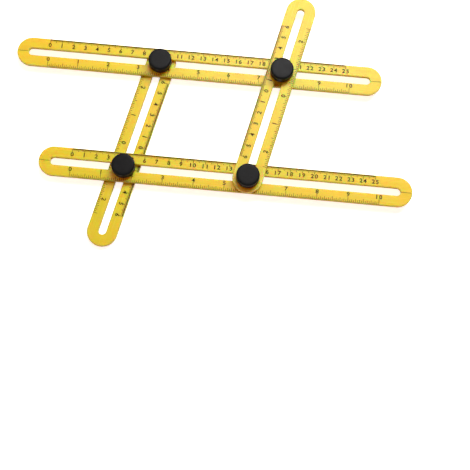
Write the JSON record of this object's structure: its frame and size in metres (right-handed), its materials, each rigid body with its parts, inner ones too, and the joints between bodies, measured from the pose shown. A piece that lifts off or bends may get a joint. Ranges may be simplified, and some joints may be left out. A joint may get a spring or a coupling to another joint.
{
  "type": "multi-angle folding ruler",
  "caption": "Slotted graduated arms bolted into an adjustable four-sided frame that slides and folds to copy an angle or outline, clamped by round knobs.",
  "frame": {"origin": "on the axis of the lower left bolt, on the flat back of its head, the plane that the tool lies on", "axes": "+X along the two long arms from their left tips to their right tips, +Y across them from the lower to the upper long arm, +Z from the backs of the arms to the knobs"},
  "size_m": [0.3388, 0.2287, 0.0195],
  "materials": {
    "yellow_plastic": "clear-tinted, moulded, semi-gloss",
    "black_plastic": "moulded, satin",
    "brass": "turned",
    "zinc_steel": "bright zinc plated"
  },
  "bodies": {
    "lower_long_arm": {"lower_long_arm": "yellow_plastic"},
    "upper_long_arm": {"upper_long_arm": "yellow_plastic"},
    "left_short_arm": {"left_short_arm": "yellow_plastic"},
    "right_short_arm": {"right_short_arm": "yellow_plastic"},
    "bolt_lower_left": {"bolt_lower_left": "zinc_steel"},
    "washer_lower_left": {"washer_lower_left": "zinc_steel"},
    "knob_lower_left": {"knob_lower_left": "black_plastic", "insert_lower_left": "brass"},
    "bolt_upper_left": {"bolt_upper_left": "zinc_steel"},
    "washer_upper_left": {"washer_upper_left": "zinc_steel"},
    "knob_upper_left": {"knob_upper_left": "black_plastic", "insert_upper_left": "brass"},
    "bolt_lower_right": {"bolt_lower_right": "zinc_steel"},
    "washer_lower_right": {"washer_lower_right": "zinc_steel"},
    "knob_lower_right": {"knob_lower_right": "black_plastic", "insert_lower_right": "brass"},
    "bolt_upper_right": {"bolt_upper_right": "zinc_steel"},
    "washer_upper_right": {"washer_upper_right": "zinc_steel"},
    "knob_upper_right": {"knob_upper_right": "black_plastic", "insert_upper_right": "brass"}
  },
  "joints": [
    {"name": "lower_left_slide", "type": "slide", "parent": "lower_long_arm", "child": "washer_lower_left", "axis": [1, 0, 0], "range_m": [-0.057, 0.079]},
    {"name": "fold", "type": "hinge", "parent": "washer_lower_left", "child": "bolt_lower_left", "pos_m": [0, 0, 0], "axis": [0, 0, 1], "range_deg": [-62, 62]},
    {"name": "left_arm_slide", "type": "slide", "parent": "bolt_lower_left", "child": "left_short_arm", "axis": [0.2079, 0.9781, 0], "range_m": [0, 0.054]},
    {"name": "height_slide", "type": "slide", "parent": "bolt_lower_left", "child": "bolt_upper_left", "axis": [-0.2079, -0.9781, 0], "range_m": [0, 0.056]},
    {"name": "upper_left_swivel", "type": "hinge", "parent": "bolt_upper_left", "child": "washer_upper_left", "pos_m": [0.01996, 0.0939, 0], "axis": [0, 0, 1], "range_deg": [-62, 62]},
    {"name": "upper_arm_slide", "type": "slide", "parent": "washer_upper_left", "child": "upper_long_arm", "axis": [1, 0, 0], "range_m": [-0.07, 0.108]},
    {"name": "lower_right_slide", "type": "slide", "parent": "lower_long_arm", "child": "bolt_lower_right", "axis": [1, 0, 0], "range_m": [-0.075, 0.07]},
    {"name": "lower_right_swivel", "type": "hinge", "parent": "bolt_lower_right", "child": "washer_lower_right", "pos_m": [0.1022, 0, 0], "axis": [0, 0, 1], "range_deg": [-62, 62]},
    {"name": "right_arm_slide", "type": "slide", "parent": "washer_lower_right", "child": "right_short_arm", "axis": [0.2079, 0.9781, 0], "range_m": [-0.056, 0]},
    {"name": "right_height_slide", "type": "slide", "parent": "washer_lower_right", "child": "washer_upper_right", "axis": [-0.2079, -0.9781, 0], "range_m": [0, 0.056]},
    {"name": "upper_right_swivel", "type": "hinge", "parent": "washer_upper_right", "child": "bolt_upper_right", "pos_m": [0.12216, 0.0939, 0], "axis": [0, 0, 1], "range_deg": [-62, 62]},
    {"name": "knob_lower_left_turn", "type": "hinge", "parent": "bolt_lower_left", "child": "knob_lower_left", "pos_m": [0, 0, 0], "axis": [0, 0, 1], "range_deg": [0, 360]},
    {"name": "knob_upper_left_turn", "type": "hinge", "parent": "bolt_upper_left", "child": "knob_upper_left", "pos_m": [0.01996, 0.0939, 0], "axis": [0, 0, 1], "range_deg": [0, 360]},
    {"name": "knob_lower_right_turn", "type": "hinge", "parent": "bolt_lower_right", "child": "knob_lower_right", "pos_m": [0.1022, 0, 0], "axis": [0, 0, 1], "range_deg": [0, 360]},
    {"name": "knob_upper_right_turn", "type": "hinge", "parent": "bolt_upper_right", "child": "knob_upper_right", "pos_m": [0.12216, 0.0939, 0], "axis": [0, 0, 1], "range_deg": [0, 360]}
  ],
  "couplings": [
    {"joint": "upper_left_swivel", "follows": "fold", "ratio": -1},
    {"joint": "lower_right_swivel", "follows": "fold", "ratio": 1},
    {"joint": "right_height_slide", "follows": "height_slide", "ratio": 1},
    {"joint": "upper_right_swivel", "follows": "fold", "ratio": -1}
  ]
}
